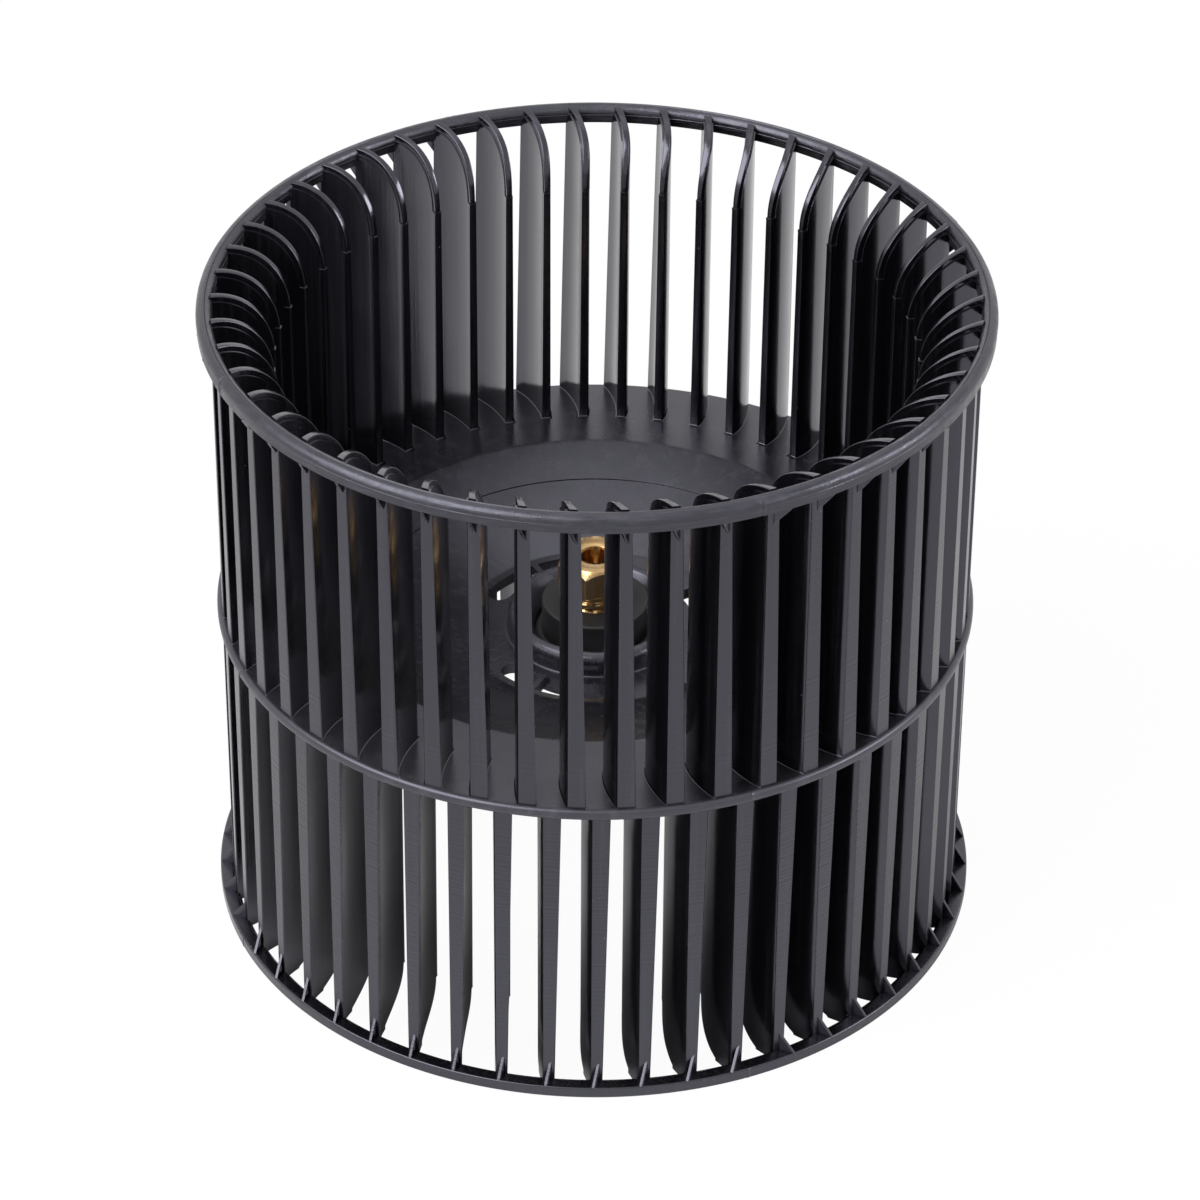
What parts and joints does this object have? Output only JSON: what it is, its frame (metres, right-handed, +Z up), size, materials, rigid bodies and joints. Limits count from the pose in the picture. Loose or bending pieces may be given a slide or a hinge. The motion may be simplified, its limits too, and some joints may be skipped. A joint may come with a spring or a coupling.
{
  "type": "blower wheel",
  "caption": "Double-inlet centrifugal blower wheel with forward-curved blades either side of a dished disc, and a clamping hub.",
  "frame": {"origin": "centre of the wheel, on the shaft's axis and half way between the end rings", "axes": "+Z up along the shaft's axis, from the flat lower end ring to the beaded upper one and towards the clamp nut; the shaft leaves along -Z"},
  "size_m": [0.16, 0.16, 0.141],
  "materials": {
    "black_plastic": "satin moulded",
    "black_rubber": "matte",
    "brass": "turned, bright"
  },
  "bodies": {
    "root": {"wheel": "black_plastic", "hub_bush": "black_rubber", "collet": "brass", "clamp_nut": "brass"}
  },
  "joints": []
}
